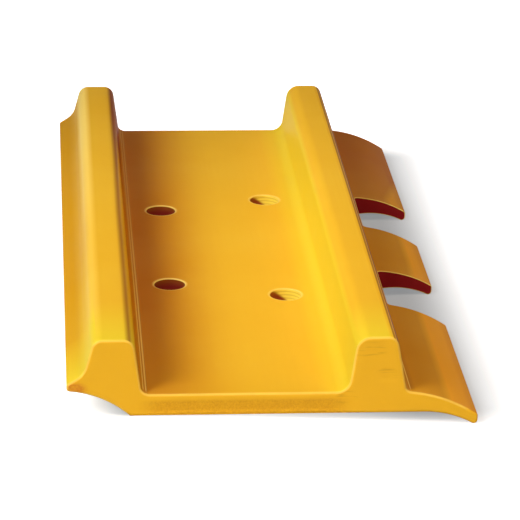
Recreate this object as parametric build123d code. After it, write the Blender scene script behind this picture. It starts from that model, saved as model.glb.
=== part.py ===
from build123d import *
from math import radians, sqrt, tan
import os

# Double-grouser track shoe of a crawler excavator, in millimetres.
# The rolled section runs along Y. X points across it, from the leading lip to the trailing lip,
# and Z points up, through the grousers. The origin is the centre of the bolt pattern, on the flat
# underside that seats on the track links, at half the length.

# The length to which the rolled bar is cut, and the rounding all round both end faces
shoe_length = 490.0
end_edge_radius = 0.8

# The plate between and under the grousers
plate_thickness = 13.5
heel_inset = 21.0
heel_radius = 1.5

# The two grousers, one each side of the channel
channel_top_width = 129.0
channel_draft_angle = 8.0
grouser_top_width = 23.0
grouser_height = 34.0
leading_outer_angle = 15.0
trailing_outer_angle = 10.5
leading_crown_radius = 5.0
trailing_crown_radius = 6.5
leading_foot_radius = 5.0
trailing_foot_radius = 8.0
trailing_outer_foot_radius = 4.0

# The leading lip, whose hollow underside hooks over the shoe in front
leading_lip_length = 15.5
leading_lip_angle = 33.0
leading_sweep_radius = 13.0
leading_tip_height = 15.8
leading_tip_thickness = 4.2
nest_radius = 60.0

# The trailing lip, which curves down under the leading lip of the shoe behind
trailing_lip_length = 48.5
lip_top_radius = 84.0
lip_under_radius = 57.0
lip_flat_length = 17.0

# The two notches that clear the ends of the next links and leave three tongues
notch_spacing = 142.5
notch_mouth_width = 70.0
notch_flare = 11.3
notch_corner_radius = 3.0
notch_root_land = 1.0
notch_edge_radius = 0.6

# The four bolt holes: a narrow pair on the leading side, a wide pair on the trailing side
bolt_row_spacing = 72.0
narrow_pair_spacing = 138.4
wide_pair_spacing = 178.4
bolt_hole_diameter = 19.5
hole_edge_break = 0.5

# How far a cut runs past the faces that it goes through
cut_overrun = 5.0

# What the roundings at a lip's tip take of its thickness there
leading_tip_round_share = 0.42
trailing_tip_round_share = 0.3

# Places that follow from the sizes above
half_length = shoe_length / 2
crown_level = plate_thickness + grouser_height
inner_crown_reach = channel_top_width / 2
outer_crown_reach = inner_crown_reach + grouser_top_width
channel_foot_reach = inner_crown_reach - grouser_height * tan(radians(channel_draft_angle))
heel_reach = outer_crown_reach - heel_inset
leading_reach = outer_crown_reach + leading_lip_length
leading_tip_level = leading_tip_height + leading_tip_thickness
trailing_reach = outer_crown_reach + trailing_lip_length
bend_reach = outer_crown_reach + lip_flat_length


def arc_drop(radius, run):
    """How far an arc that starts level has fallen after a horizontal run."""
    return radius - sqrt(radius**2 - run**2)


def trailing_tip_levels():
    """Heights of the trailing lip's upper and lower corners at its tip."""
    upper = plate_thickness - arc_drop(lip_top_radius, trailing_reach - outer_crown_reach)
    lower = -arc_drop(lip_under_radius, trailing_reach - bend_reach)
    return upper, lower


def leading_root_point():
    """Where the leading grouser's outer face meets the top of the leading lip."""
    face_slope = tan(radians(leading_outer_angle))
    lip_run = 1 / tan(radians(leading_lip_angle))
    level = leading_lip_length - crown_level * face_slope + leading_tip_level * lip_run
    level = level / (lip_run - face_slope)
    return -outer_crown_reach - (crown_level - level) * face_slope, level


def trailing_foot_point():
    """Where the trailing grouser's outer face meets the lip's upper arc, centred below the outer crown."""
    face_slope = tan(radians(trailing_outer_angle))
    axis_depth = grouser_height + lip_top_radius
    spread = 1 + face_slope**2
    drop = (axis_depth - sqrt(axis_depth**2 - spread * (axis_depth**2 - lip_top_radius**2))) / spread
    return outer_crown_reach + drop * face_slope, crown_level - drop


def rolled_section():
    """The shoe's cross-section, drawn with X across and Y up."""
    tip_upper, tip_lower = trailing_tip_levels()
    heel = (-heel_reach, 0)
    bend = (bend_reach, 0)
    trailing_lower = (trailing_reach, tip_lower)
    trailing_upper = (trailing_reach, tip_upper)
    trailing_outer_foot = trailing_foot_point()
    trailing_outer_crown = (outer_crown_reach, crown_level)
    trailing_inner_crown = (inner_crown_reach, crown_level)
    trailing_inner_foot = (channel_foot_reach, plate_thickness)
    leading_inner_foot = (-channel_foot_reach, plate_thickness)
    leading_inner_crown = (-inner_crown_reach, crown_level)
    leading_outer_crown = (-outer_crown_reach, crown_level)
    leading_root = leading_root_point()
    leading_upper = (-leading_reach, leading_tip_level)
    leading_lower = (-leading_reach, leading_tip_height)

    outline = Curve() + [
        Line(heel, bend),
        RadiusArc(bend, trailing_lower, lip_under_radius),
        Line(trailing_lower, trailing_upper),
        RadiusArc(trailing_upper, trailing_outer_foot, -lip_top_radius),
        Polyline(
            trailing_outer_foot, trailing_outer_crown, trailing_inner_crown, trailing_inner_foot,
            leading_inner_foot, leading_inner_crown, leading_outer_crown, leading_root,
            leading_upper, leading_lower,
        ),
        RadiusArc(leading_lower, heel, nest_radius),
    ]
    section = make_face(outline)

    leading_tip_radius = leading_tip_round_share * leading_tip_thickness
    trailing_tip_radius = trailing_tip_round_share * (tip_upper - tip_lower)
    roundings = [
        (heel, heel_radius),
        (trailing_lower, trailing_tip_radius),
        (trailing_upper, trailing_tip_radius),
        (trailing_outer_foot, trailing_outer_foot_radius),
        (trailing_outer_crown, trailing_crown_radius),
        (trailing_inner_crown, trailing_crown_radius),
        (trailing_inner_foot, trailing_foot_radius),
        (leading_inner_foot, leading_foot_radius),
        (leading_inner_crown, leading_crown_radius),
        (leading_outer_crown, leading_crown_radius),
        (leading_root, leading_sweep_radius),
        (leading_upper, leading_tip_radius),
        (leading_lower, leading_tip_radius),
    ]
    for corner, radius in roundings:
        vertex = section.vertices().sort_by_distance(Vector(*corner))[0]
        section = fillet(vertex, radius)
    return section


def rolled_bar():
    """The section cut to length, with the edges of both ends rounded."""
    bar = extrude(Plane.XZ * rolled_section(), amount=half_length, both=True)
    ends = bar.faces().filter_by(Axis.Y)
    return fillet(ends.edges(), end_edge_radius)


def notch_plan(centre_y):
    """Plan outline of one notch: one square wall, one wall that flares towards the mouth."""
    root_reach = trailing_foot_point()[0] + trailing_outer_foot_radius + notch_root_land
    square_wall_y = centre_y - notch_mouth_width / 2
    flared_wall_y = centre_y + notch_mouth_width / 2
    flare_rate = notch_flare / (trailing_reach - root_reach)
    outside_reach = trailing_reach + cut_overrun
    root_corners = [
        (root_reach, square_wall_y),
        (root_reach, flared_wall_y - notch_flare),
    ]
    plan = make_face(Polyline(
        (outside_reach, square_wall_y),
        *root_corners,
        (outside_reach, flared_wall_y + cut_overrun * flare_rate),
        close=True,
    ))
    for corner in root_corners:
        plan = fillet(plan.vertices().sort_by_distance(Vector(*corner))[0], notch_corner_radius)
    return plan


def cut_notches(bar):
    """Cut both notches through the trailing lip and round the edges that they leave."""
    tip_lower = trailing_tip_levels()[1]
    for side in (-1, 1):
        plan = Pos(0, 0, tip_lower - cut_overrun) * notch_plan(side * notch_spacing / 2)
        cutter = extrude(plan, amount=crown_level - tip_lower)
        notched = bar - cutter
        bar = fillet(new_edges(bar, cutter, combined=notched), notch_edge_radius)
    return bar


def bolt_hole():
    """What the drill takes out at the origin, with the edge broken at both mouths."""
    radius = bolt_hole_diameter / 2
    mouth_height = hole_edge_break + cut_overrun
    mouth = Cone(radius, radius + mouth_height, mouth_height, align=(Align.CENTER, Align.CENTER, Align.MIN))
    upper_mouth = Pos(0, 0, plate_thickness - hole_edge_break) * mouth
    lower_mouth = Pos(0, 0, hole_edge_break) * Rot(X=180) * mouth
    bore = Cylinder(radius, plate_thickness, align=(Align.CENTER, Align.CENTER, Align.MIN))
    return bore + upper_mouth + lower_mouth


def drill_bolt_holes(bar):
    """Drill the narrow pair and the wide pair through the plate."""
    pairs = ((-bolt_row_spacing / 2, narrow_pair_spacing), (bolt_row_spacing / 2, wide_pair_spacing))
    for row_x, pair_spacing in pairs:
        for side in (-1, 1):
            bar -= Pos(row_x, side * pair_spacing / 2, 0) * bolt_hole()
    return bar


def track_shoe():
    """The whole shoe: the bar, then its notches, then its bolt holes."""
    return drill_bolt_holes(cut_notches(rolled_bar()))


os.makedirs("parts", exist_ok=True)
shoe = track_shoe()
shoe.label = "track_shoe"
export_step(shoe, "parts/track_shoe.step")
print("volume", round(shoe.volume), "mm3, valid", shoe.is_valid)
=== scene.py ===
"""Studio picture of a double-grouser track shoe, cut from rolled bar and painted yellow.

Everything is in metres in the part's own frame: the rolled section runs along Y, X points
across it from the leading lip to the trailing lip, and Z points up through the grousers.
"""
import math
from collections import namedtuple

import bmesh
import bpy
import numpy as np
from mathutils import Matrix, Vector
from mathutils.geometry import delaunay_2d_cdt


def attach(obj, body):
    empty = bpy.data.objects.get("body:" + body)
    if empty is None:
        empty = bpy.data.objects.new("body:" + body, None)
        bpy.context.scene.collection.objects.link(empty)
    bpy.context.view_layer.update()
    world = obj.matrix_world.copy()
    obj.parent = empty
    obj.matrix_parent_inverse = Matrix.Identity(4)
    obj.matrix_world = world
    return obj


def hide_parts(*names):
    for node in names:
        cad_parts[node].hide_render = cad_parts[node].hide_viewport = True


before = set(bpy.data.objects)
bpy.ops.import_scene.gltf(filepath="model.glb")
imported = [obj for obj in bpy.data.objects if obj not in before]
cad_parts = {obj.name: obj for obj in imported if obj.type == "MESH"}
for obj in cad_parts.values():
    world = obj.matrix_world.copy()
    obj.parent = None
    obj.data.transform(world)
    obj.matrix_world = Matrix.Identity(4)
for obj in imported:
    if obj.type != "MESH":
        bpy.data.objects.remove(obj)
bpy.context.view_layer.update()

MM = 0.001

# The shoe's sizes, as the CAD part has them
SHOE_LENGTH = 490.0 * MM
HALF_LENGTH = SHOE_LENGTH / 2
PLATE_THICKNESS = 13.5 * MM
CROWN_LEVEL = 47.5 * MM
INNER_CROWN_REACH = 64.5 * MM
OUTER_CROWN_REACH = 87.5 * MM
CHANNEL_DRAFT = math.radians(8.0)
LEADING_OUTER_SLOPE = math.radians(15.0)
TRAILING_OUTER_SLOPE = math.radians(10.5)
LEADING_FOOT_RADIUS = 5.0 * MM
TRAILING_FOOT_RADIUS = 8.0 * MM
TRAILING_OUTER_FOOT_RADIUS = 4.0 * MM
HEEL_REACH = 66.5 * MM
HEEL_RADIUS = 1.5 * MM
LEADING_REACH = 103.0 * MM
LEADING_LIP_SLOPE = math.radians(33.0)
LEADING_SWEEP_RADIUS = 13.0 * MM
LEADING_TIP_HEIGHT = 15.8 * MM
LEADING_TIP_THICKNESS = 4.2 * MM
LEADING_TIP_ROUND_SHARE = 0.42
NEST_RADIUS = 60.0 * MM
TRAILING_REACH = 136.0 * MM
BEND_REACH = 104.5 * MM
LIP_TOP_RADIUS = 84.0 * MM
LIP_UNDER_RADIUS = 57.0 * MM
TRAILING_TIP_ROUND_SHARE = 0.3

# The crowns' roundings, as wide as the photograph shows them
LEADING_CROWN_RADIUS = 7.0 * MM
TRAILING_INNER_CROWN_RADIUS = 9.0 * MM
TRAILING_OUTER_CROWN_RADIUS = 6.5 * MM

# The notches: their plan, and how the bar is cut
NOTCH_SPACING = 142.5 * MM
NOTCH_MOUTH_WIDTH = 70.0 * MM
NOTCH_FLARE = 11.3 * MM
NOTCH_ROOT_REACH = 98.85 * MM
NOTCH_CORNER_RADIUS = 3.0 * MM
NOTCH_OUTSIDE_REACH = 142.0 * MM

# How tall the cutters of the notches and of the holes are, in plate thicknesses
NOTCH_CUTTER_SHARE = 3.0
DRILL_CUTTER_SHARE = 2.0

# The bolt holes, and the rings that the drill left in them
BOLT_ROW_SPACING = 72.0 * MM
NARROW_PAIR_SPACING = 138.4 * MM
WIDE_PAIR_SPACING = 178.4 * MM
BOLT_HOLE_RADIUS = 9.75 * MM
DRILL_RING_PITCH = 2.2 * MM

# Roundings along the edges that the cuts leave
END_EDGE_RADIUS = 1.4 * MM
NOTCH_EDGE_RADIUS = 0.6 * MM
HOLE_EDGE_RADIUS = 0.8 * MM

# Raised lines that the rolls left along the feet of the grousers: the section's corner that they
# follow, and how many divisions round that corner they run
ROLLED_LINES = {4: (1,), 8: (3, 6)}
ROLLED_LINE_HEIGHT = 0.18 * MM

# The fractured lower band of the sheared ends, between the grousers
FRACTURE_TOP = 10.5 * MM
FRACTURE_FADE = 2.0 * MM
FRACTURE_REACH = 64.0 * MM
FRACTURE_SIDE_FADE = 16.0 * MM

# Patches of the ends with saw marks, and with thin paint: the middle of each (across, up) and its
# half sizes, in mm, and at what shares of those sizes a patch starts and is full
SAWN_PATCHES = [(72.0, 39.5, 11.0, 6.0), (59.0, 9.5, 8.0, 6.0), (82.0, 24.0, 8.0, 5.0)]
THIN_PATCHES = [(-98.5, 17.5, 9.0, 5.0)]
PATCH_RIM_SHARES = (1.0, 0.45)

# How deep the lit yellow reaches into the trailing holes at their axis before their painted deep
# shade begins, how much less or more it reaches at their leading and trailing sides, and how far
# the shade's rim fades there
BORE_LIT_DEPTH = 6.5 * MM
BORE_LIT_SLANT = 8.0 * MM
BORE_SHADE_FADE = 1.2 * MM

# How finely the section's bends and long arcs, the cutters, the bores, the roundings and the cut
# faces are divided, with the faces' rims, and how far inside a rim the first points stand
BEND_STEP = math.radians(7.5)
BEND_LEAST_STEPS = 3
LONG_ARC_STEP = 2.8 * MM
NOTCH_CORNER_STEPS = 8
BORE_FACETS = 72
BORE_RINGS = 16
EDGE_SEGMENTS = 4
CUT_GRID_STEP = 0.9 * MM
RIM_STEP = 1.5 * CUT_GRID_STEP
RIM_CLEARANCE = 0.55 * CUT_GRID_STEP

# How a rounding's centre is found between two runs: passes, and the small move that each tries
ROUNDING_PASSES = 8
ROUNDING_NUDGE = 0.001 * MM

# What counts as a sharp edge, as close, as one point, and as a notch's wall and not a facet of
# its corner
SHARP_ANGLE = math.radians(40.0)
CLOSE = 0.05 * MM
MERGE_DISTANCE = 0.001 * MM
NOTCH_WALL_AREA = 30 * MM**2

# How far a face's normal may lean out of level on an upright wall, flat or drilled, and how
# squarely an end face looks along the shoe and a tongue's tip across it
FLAT_WALL_LEAN = 0.001
BORE_WALL_LEAN = 0.02
END_SQUARENESS = 0.999
TIP_SQUARENESS = 0.9

# The photograph's camera: its place, how it is turned, its focal length in frame widths, and the
# nearest and furthest that it sees
CAMERA_PLACE = Vector((-113.6, -1743.8, 662.2)) * MM
CAMERA_AZIMUTH = math.radians(4.599)
CAMERA_ELEVATION = math.radians(20.646)
CAMERA_ROLL = math.radians(1.063)
CAMERA_FOCAL_SHARE = 2836.4 / 520
SENSOR_WIDTH = 36.0
CAMERA_SIGHT = (0.05, 50.0)

# The lamps: place, aim, size, beam width, power and colour. The key and the side light stand to
# the left, with grids, and a warm fill stands to the right.
LAMPS = {
    "key_softbox": (
        Vector((-0.676, -0.694, 0.776)), Vector((0.14, 0.0, 0.03)), 0.7, 45.0, 1.6, (1.0, 1.0, 1.0)
    ),
    "side_softbox": (
        Vector((-0.921, 0.093, 0.776)), Vector((0.14, 0.0, 0.03)), 0.7, 45.0, 0.5, (1.0, 1.0, 1.0)
    ),
    "warm_fill": (
        Vector((0.459, -0.795, 1.311)), Vector((0.0, 0.0, 0.0)), 0.6, 180.0, 12.5, (1.0, 0.8, 0.62)
    ),
}

# The shoe stands on its heel line and on the lowest line of its trailing lip
HEEL_LINE = Vector((-HEEL_REACH, 0.0, 0.0))
LIP_LINE = Vector((134.5, 0.0, -7.7)) * MM
FLOOR_HALF_SPAN = 6.0

# The floor inside and outside a painted shadow patch laid round the shoe's real shadow, and how
# much each is lifted towards white where it is seen
FLOOR_COLOUR = (0.23, 0.26, 0.29, 1.0)
FLOOR_AWAY = (0.62, 0.64, 0.66, 1.0)
SHADE_LIFT = (0.265, 0.27, 0.275, 1.0)
WHITE_LIFT = (0.98, 0.98, 0.98, 1.0)

# The painted shadow's edges: where the shade has gone, and where it is full. The near edge lies
# further forward by the splay towards the trailing lip. Under the leading lip its shade is full
# sooner, and from the heel it takes a short stretch across to be as elsewhere.
SHADOW_LEFT = (-108.0 * MM, -55.0 * MM)
SHADOW_RIGHT = (192.0 * MM, 116.0 * MM)
SHADOW_FAR = (280.0 * MM, 240.0 * MM)
SHADOW_NEAR_GONE = -252.0 * MM
SHADOW_NEAR_FULL = -205.0 * MM
SHADOW_NEAR_SPLAY = 14.0 * MM
SHADOW_UNDER_LIP_FULL = -240.0 * MM
SHADOW_HEEL_STRETCH = 8.0 * MM

# The yellow coat where it is even, lighter and deeper
PAINT_LIGHT = (0.79, 0.46, 0.024, 1.0)
PAINT_DEEP = (0.77, 0.43, 0.021, 1.0)

# Painted light on the channel's trailing side and flank and on the near end, a painted highlight
# on the leading shoulder, and painted light on the trailing crown's outer rounding
PAINT_LIT = (0.80, 0.59, 0.028, 1.0)
PAINT_HIGHLIGHT = (0.98, 0.70, 0.0, 1.0)
PAINT_CROWN_LIGHT = (1.0, 0.57, 0.02, 1.0)

# The grousers' painted shadow, painted shade on the leading flank, painted light out on the
# trailing lip and on the ends, and the thin coats on the ends' fracture band and on a smudge at
# the leading lip
PAINT_SHADOW = (0.54, 0.17, 0.006, 1.0)
PAINT_FLANK_SHADE = (0.60, 0.29, 0.003, 1.0)
PAINT_LIP_LIGHT = (0.88, 0.37, 0.015, 1.0)
PAINT_END_LIGHT = (0.90, 0.49, 0.026, 1.0)
PAINT_THIN = (0.72, 0.34, 0.018, 1.0)
PAINT_SMUDGE = (0.72, 0.24, 0.025, 1.0)

# Painted highlights along edges and raised lines; saw marks, and painted shade in creases; and
# painted shade in the dark lines along the crowns
PAINT_EDGE_HIGHLIGHT = (0.95, 0.71, 0.17, 1.0)
PAINT_SAW_MARK_AND_SHADE = (0.50, 0.20, 0.012, 1.0)
PAINT_LINE_SHADE = (0.28, 0.05, 0.002, 1.0)

# Painted light in the bolt holes, and dark red painted as deep shade in them and on the notch
# walls
BORE_LIGHT = (0.95, 0.70, 0.07, 1.0)
BORE_DEEP_SHADE = (0.28, 0.024, 0.016, 1.0)
NOTCH_DEEP_SHADE = (0.29, 0.013, 0.015, 1.0)

# How strongly the paint mirrors, how rough it is, as a span of the clouds below, and what the
# fracture and the torch cuts add
PAINT_SPECULAR = 0.008
ROUGHNESS_SHARES = (0.3, 0.7, 0.38, 0.46)
FRACTURE_ROUGHNESS = 0.2
TORCH_CUT_ROUGHNESS = 0.15

# The paint's relief: the skin's ripple, the brushed streaks and the fracture's grain
BUMP_STRENGTH = 0.35
BUMP_HEIGHT = 0.15 * MM
RIPPLE_SHARE = 0.25
STREAK_RELIEF_SHARE = 0.5
GRAIN_SHARE = 3.0

# The noises in the paint: scale per metre, detail, roughness, and stretch along X, Y and Z
CLOUDS = (14.0, 3.0, 0.5, (1.0, 1.0, 1.0))
STREAKS = (1.0, 3.0, 0.6, (260.0, 5.0, 260.0))
GRAIN = (900.0, 3.0, 0.6, (1.0, 1.0, 1.0))
RIPPLE = (420.0, 2.0, 0.5, (1.0, 1.0, 1.0))
SAW_LINES = (1.0, 2.0, 0.5, (60.0, 60.0, 700.0))

# How much of a coat the noises bring: the noise's value from and to, and the coat's shares there
CLOUD_SHARES = (0.35, 0.7)
STREAK_SHARES = (0.45, 0.75, 0.0, 0.5)
PAINTED_SHADOW_CLOUD_SHARES = (0.2, 0.8, 0.9, 1.1)
SHEARED_SHARES = (0.35, 0.65, 0.35, 0.9)
SAWN_SHARES = (0.48, 0.62, 0.0, 0.4)
SMUDGE_SHARES = (0.3, 0.6, 0.4, 0.9)
DRILL_RING_SHADE_SHARES = (0.0, 1.0, 0.0, 0.36)
CREASE_SHADE_SHARE = 0.8

# How strong the painted highlight on the rounded edges is: on the ends, round the trailing holes,
# and on all others
END_HIGHLIGHT_SHARE = 0.35
TRAILING_HOLE_HIGHLIGHT_SHARE = 0.5
FULL_HIGHLIGHT_SHARE = 1.0

# A band of a paint zone: over what stretch it comes in or goes out, across the shoe (x), along it
# (y), up (z), or outwards over the trailing lip, and the zone's shares at the two ends
Band = namedtuple("Band", "way start end first last", defaults=(0.0, 1.0))

# The zones of the painted light, shade and highlights. The bands of a zone are multiplied.
# Painted light on the channel floor's trailing side and on the trailing grouser's inner flank
LIT_FLANK = [
    Band("x", 42.0 * MM, 58.0 * MM, 0.0, 0.85),
    Band("x", 64.0 * MM, 66.0 * MM, 1.0, 0.0),
]
# Painted light, in a warmer tone, on the lip's outer band where the grouser's shadow ends
LIP_LIGHT_BAND = [
    Band("outward", 115.5 * MM, 121.0 * MM),
    Band("y", 60.0 * MM, 200.0 * MM, 0.9, 0.5),
]
# Painted shade on the leading grouser's outer flank, deeper towards the far end
LEADING_FLANK_SHADE = [
    Band("x", -86.0 * MM, -88.0 * MM),
    Band("x", -87.0 * MM, -96.0 * MM, 0.3, 1.0),
    Band("y", -250.0 * MM, -100.0 * MM, 0.3, 1.0),
]
# A painted highlight on the leading grouser's outer flank, at the near end
LEADING_SHOULDER_HIGHLIGHT = [
    Band("x", -95.0 * MM, -92.0 * MM),
    Band("x", -87.0 * MM, -86.0 * MM, 1.0, 0.0),
    Band("y", -240.0 * MM, -60.0 * MM, 0.35, 0.0),
]
# A painted highlight high on the leading grouser's outer flank, stronger towards the far end
LEADING_RIM_HIGHLIGHT = [
    Band("z", 34.0 * MM, 42.0 * MM),
    Band("x", -85.5 * MM, -81.5 * MM, 1.0, 0.0),
    Band("y", -60.0 * MM, 160.0 * MM, 0.2, 0.75),
]
# Painted light on the trailing crown's outer rounding
TRAILING_CROWN_LIGHT = [
    Band("x", 82.0 * MM, 86.0 * MM, 0.0, 0.9),
    Band("z", 38.0 * MM, 43.0 * MM),
]

# The painted shadow of the leading grouser: it sets in on the grouser's inner flank and fades
# across the channel, and is weaker towards the near end
CHANNEL_SHADOW_START = -63.5 * MM
CHANNEL_SHADOW_FADE = (-52.0 * MM, 8.0 * MM, 0.85, 0.0)
CHANNEL_SHADOW_ALONG = [Band("y", -245.0 * MM, -110.0 * MM, 0.7, 1.0)]

# The painted shadow of the trailing grouser on the lip: close to its foot, towards the far end
# and at the tip, which are added, and how it sets in at the foot. Its rim moves outwards in two
# steps.
LIP_SHADOW_PARTS = [
    Band("outward", 115.5 * MM, 121.0 * MM, 0.55, 0.0),
    Band("y", 20.0 * MM, 200.0 * MM, 0.0, 0.45),
    Band("x", 130.0 * MM, 135.0 * MM, 0.0, 0.3),
]
LIP_SHADOW_FOOT = [Band("x", 88.3 * MM, 92.0 * MM)]
LIP_SHADOW_SPREADS = [
    Band("y", -110.0 * MM, -20.0 * MM, 0.0, 5.0 * MM),
    Band("y", 112.0 * MM, 170.0 * MM, 0.0, 14.0 * MM),
]

# Painted light at the near end of the crowns and of the leading flank
NEAR_END_LIGHT = [Band("y", -245.0 * MM, -185.0 * MM, 1.0, 0.0)]
CROWN_FOOT_LEVEL = 40.0 * MM
LEADING_FLANK_START = -86.0 * MM

# The painted shade line along the leading crown's inner rounding: over what stretches across the
# shoe it comes in and goes out. Towards the far end it moves over by the shifts, gets deeper, and
# spreads down the channel's flank, as far as the limit and the flank's foot.
SHADE_LINE_SHIFTS = Band("y", -20.0 * MM, 90.0 * MM, 0.4 * MM, 1.4 * MM)
SHADE_LINE_START = (-70.0 * MM, -67.5 * MM)
SHADE_LINE_END = (-67.0 * MM, -65.8 * MM)
SHADE_LINE_DEPTHS = Band("y", 60.0 * MM, 180.0 * MM, 0.62, 0.95)
SHADE_LINE_SPREADS = Band("y", 60.0 * MM, 150.0 * MM, 0.0, 0.9)
SHADE_LINE_FLANK = [Band("z", 16.0 * MM, 22.0 * MM)]
SHADE_LINE_LIMIT = -58.0 * MM

# The two painted shade lines along the trailing crown's outer rounding, one on each side of its
# edge
CROWN_SHADE_LINE = [
    Band("x", 84.9 * MM, 85.3 * MM, 0.0, 0.65),
    Band("x", 86.2 * MM, 86.5 * MM, 1.0, 0.0),
]
FLANK_SHADE_LINE = [
    Band("x", 87.0 * MM, 87.3 * MM, 0.3, 1.0),
    Band("x", 88.3 * MM, 88.7 * MM, 1.0, 0.0),
]
FLANK_SHADE_LINE_START = 86.4 * MM

# The painted highlight on the rolled lines fades out this far from the ends, and on the leading
# one towards the far end
ROLLED_LINE_HIGHLIGHT_FADE = (6.0 * MM, 2.5 * MM)
LEADING_LINE_HIGHLIGHT = [Band("y", -160.0 * MM, 100.0 * MM, 1.0, 0.25)]

# The painted highlight ring on the plate round each bolt hole: how far from the hole it starts to
# fade and has gone, its share, and where across the channel the narrow pair's places give way to
# the wide
HOLE_RIM_HIGHLIGHT_FADE = (1.1 * MM, 1.8 * MM)
HOLE_RIM_HIGHLIGHT_SHARE = 0.45
ROW_CHANGE = (-1.0 * MM, 1.0 * MM)

# Where the bores' painted deep shade looks browner: towards their upper mouth, and in the trailing
# row
BORE_MOUTH_BAND = [Band("z", 8.0 * MM, 12.5 * MM, 0.0, 0.35)]
TRAILING_BORE_BAND = [Band("x", 0.0, 1.0 * MM, 0.0, 0.2)]

# The detail and the roughness of the noises that shape the tools' marks
MARK_DETAIL = 2.0
MARK_ROUGHNESS = 0.55

# The tools' marks: their depths and pitches, how far the fracture leans inwards at its foot, and
# how much the drag and saw lines are drawn out
TOOL_MARKS = {
    "Fracture Lean": 0.5 * MM,
    "Fracture Grain Depth": 0.35 * MM,
    "Fracture Grain Size": 1.6 * MM,
    "Drag Line Depth": 0.3 * MM,
    "Drag Line Pitch": 2.4 * MM,
    "Drag Line Squeeze": 0.18,
    "Saw Line Depth": 0.35 * MM,
    "Saw Line Pitch": 2.2 * MM,
    "Saw Line Squeeze": 0.12,
    "Drill Ring Depth": 0.3 * MM,
    "Drill Ring Pitch": DRILL_RING_PITCH,
    "Fracture Top": FRACTURE_TOP,
    "Seed": 3.0,
}


def link(obj):
    """Put an object into the scene."""
    bpy.context.scene.collection.objects.link(obj)
    return obj


def photograph_camera():
    """The camera at the photograph's viewpoint."""
    data = bpy.data.cameras.new("photograph_camera")
    data.sensor_width = SENSOR_WIDTH
    data.lens = CAMERA_FOCAL_SHARE * SENSOR_WIDTH
    data.clip_start, data.clip_end = CAMERA_SIGHT
    camera = link(bpy.data.objects.new("photograph_camera", data))
    camera.location = CAMERA_PLACE
    turn = Matrix.Rotation(-CAMERA_AZIMUTH, 3, "Z")
    tilt = Matrix.Rotation(math.radians(90) - CAMERA_ELEVATION, 3, "X")
    roll = Matrix.Rotation(CAMERA_ROLL, 3, "Z")
    camera.rotation_mode = "QUATERNION"
    camera.rotation_quaternion = (turn @ tilt @ roll).to_quaternion()
    bpy.context.scene.camera = camera


def softbox(name, place, aim, size, beam, power, colour):
    """A square area lamp that points at a place on the shoe, with a grid if its beam is narrow."""
    data = bpy.data.lights.new(name, "AREA")
    data.shape = "SQUARE"
    data.size = size
    data.spread = math.radians(beam)
    data.energy = power
    data.color = colour
    lamp = link(bpy.data.objects.new(name, data))
    lamp.location = place
    lamp.rotation_mode = "QUATERNION"
    lamp.rotation_quaternion = (aim - place).to_track_quat("-Z", "Y")


class Nodes:
    """A node tree, built one node at a time."""

    def __init__(self, tree):
        self.tree = tree

    def add(self, kind, inputs=(), **settings):
        """Add a node, apply its settings, and link or set its inputs by name or place."""
        node = self.tree.nodes.new(kind)
        for key, value in settings.items():
            setattr(node, key, value)
        for key, value in dict(inputs).items():
            for one in value if isinstance(value, list) else [value]:
                if isinstance(one, bpy.types.NodeSocket):
                    self.tree.links.new(one, node.inputs[key])
                else:
                    node.inputs[key].default_value = one
        return node

    def node(self, kind, inputs=(), **settings):
        """Add a node in the same way, and give its first output."""
        return self.add(kind, inputs, **settings).outputs[0]

    def maths(self, operation, first, second=0.0):
        """A Math node on one or two numbers."""
        return self.node("ShaderNodeMath", {0: first, 1: second}, operation=operation)

    def times(self, first, second):
        """The product of two numbers."""
        return self.maths("MULTIPLY", first, second)

    def plus(self, first, second):
        """The sum of two numbers."""
        return self.maths("ADD", first, second)

    def minus(self, first, second):
        """The first number less the second."""
        return self.maths("SUBTRACT", first, second)

    def above(self, first, second):
        """1 where the first number is the greater one, and 0 elsewhere."""
        return self.maths("GREATER_THAN", first, second)

    def span(self, value, start, end, first=0.0, last=1.0, smooth=False):
        """The first number up to the start, the last one from the end, and between them a ramp."""
        return self.node(
            "ShaderNodeMapRange",
            {"Value": value, "From Min": start, "From Max": end, "To Min": first, "To Max": last},
            interpolation_type="SMOOTHSTEP" if smooth else "LINEAR",
        )

    def object_place(self):
        """The place on the object, as one vector and as x, y and z."""
        place = self.add("ShaderNodeTexCoord").outputs["Object"]
        return place, *self.add("ShaderNodeSeparateXYZ", {0: place}).outputs

    def seen_directly(self):
        """1 for camera, glossy and transmission rays, and 0 for the rest."""
        path = self.add("ShaderNodeLightPath").outputs
        mirrored = self.maths("MAXIMUM", path["Is Glossy Ray"], path["Is Transmission Ray"])
        return self.maths("MAXIMUM", path["Is Camera Ray"], mirrored)


def white_room():
    """A background that is white where it is seen and lights nothing."""
    world = bpy.data.worlds.new("white_room")
    bpy.context.scene.world = world
    world.use_nodes = True
    room = Nodes(world.node_tree)
    room.tree.nodes.clear()
    dark = room.node("ShaderNodeBackground", {"Color": (0.0, 0.0, 0.0, 1.0)})
    white = room.node("ShaderNodeBackground", {"Color": (1.0, 1.0, 1.0, 1.0)})
    mix = room.node("ShaderNodeMixShader", {0: room.seen_directly(), 1: dark, 2: white})
    room.add("ShaderNodeOutputWorld", {"Surface": mix})


def shadow_share(floor, across, along):
    """1 in a painted shadow patch where the shoe's shadow falls on the floor, and 0 away from it,
    with soft edges.
    """
    splay = floor.span(across, 0.0, LEADING_REACH, 0.0, SHADOW_NEAR_SPLAY)
    near_full = floor.span(
        across,
        -HEEL_REACH,
        -HEEL_REACH + SHADOW_HEEL_STRETCH,
        SHADOW_UNDER_LIP_FULL,
        SHADOW_NEAR_FULL,
    )
    edges = [
        (across, SHADOW_LEFT),
        (across, SHADOW_RIGHT),
        (floor.plus(along, splay), (SHADOW_NEAR_GONE, near_full)),
        (along, SHADOW_FAR),
    ]
    share = 1.0
    for distance, (gone, full) in edges:
        share = floor.times(share, floor.span(distance, gone, full, smooth=True))
    return share


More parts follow.
